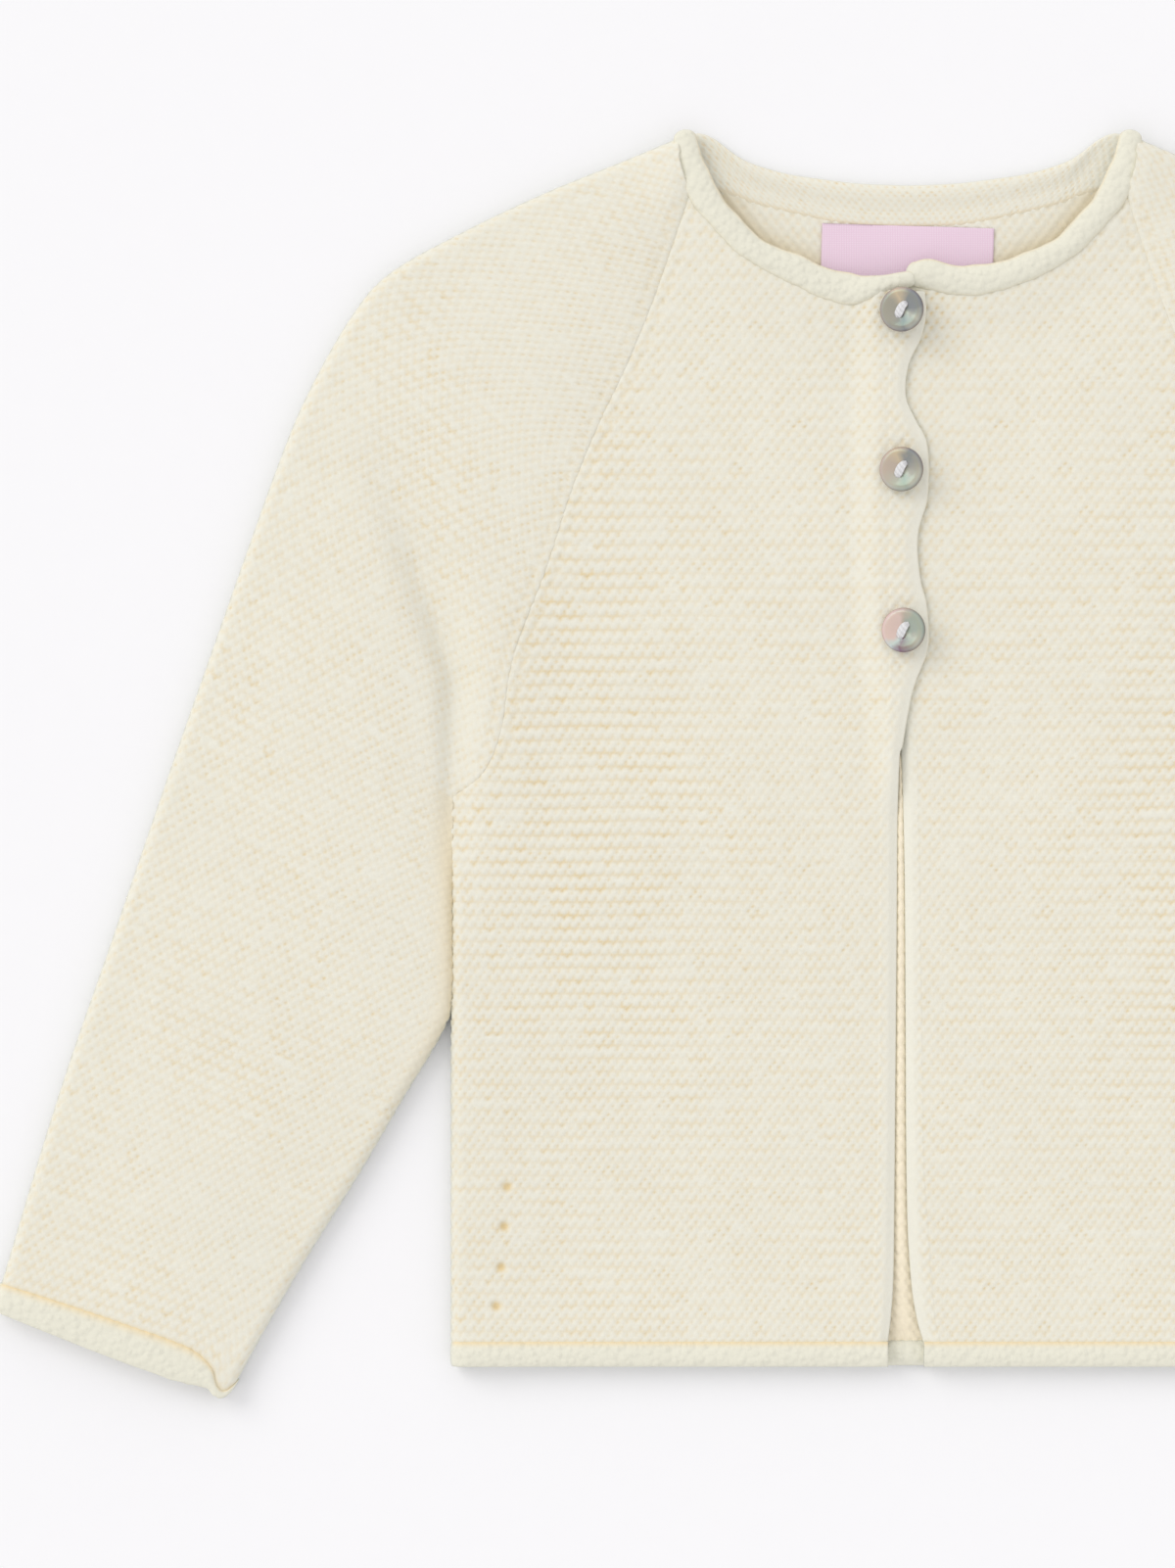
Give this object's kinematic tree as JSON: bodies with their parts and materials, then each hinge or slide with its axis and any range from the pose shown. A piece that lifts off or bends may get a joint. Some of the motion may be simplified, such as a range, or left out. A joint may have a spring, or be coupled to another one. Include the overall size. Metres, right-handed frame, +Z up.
{
  "type": "baby cardigan",
  "caption": "Baby cardigan in cream garter stitch with raglan sleeves, rolled edges and a buttoned front, laid flat.",
  "frame": {"origin": "on the surface that the garment lies on, under the middle of its box", "axes": "+X to the viewer's right, across the garment; +Y from hem to neck; +Z up, out of the garment's front"},
  "size_m": [0.5192, 0.3558, 0.013],
  "materials": {
    "garter_knit": "matt cream wool in garter stitch",
    "rolled_knit": "matt cream wool in smooth rolled stocking stitch",
    "shell_button": "polished grey mother-of-pearl",
    "satin_label": "pale pink woven satin, bare"
  },
  "bodies": {
    "root": {"back": "garter_knit", "front_right": "garter_knit", "front_left": "garter_knit", "sleeve_right": "garter_knit", "sleeve_left": "garter_knit", "neckband_back": "rolled_knit", "neck_roll_right": "rolled_knit", "neck_roll_left": "rolled_knit", "front_edge_right": "rolled_knit", "front_edge_left": "rolled_knit", "hem_roll_back": "rolled_knit", "hem_roll_front_right": "rolled_knit", "hem_roll_front_left": "rolled_knit", "cuff_roll_right": "rolled_knit", "cuff_roll_left": "rolled_knit", "button_top": "shell_button", "button_middle": "shell_button", "button_bottom": "shell_button", "label": "satin_label"}
  },
  "joints": []
}
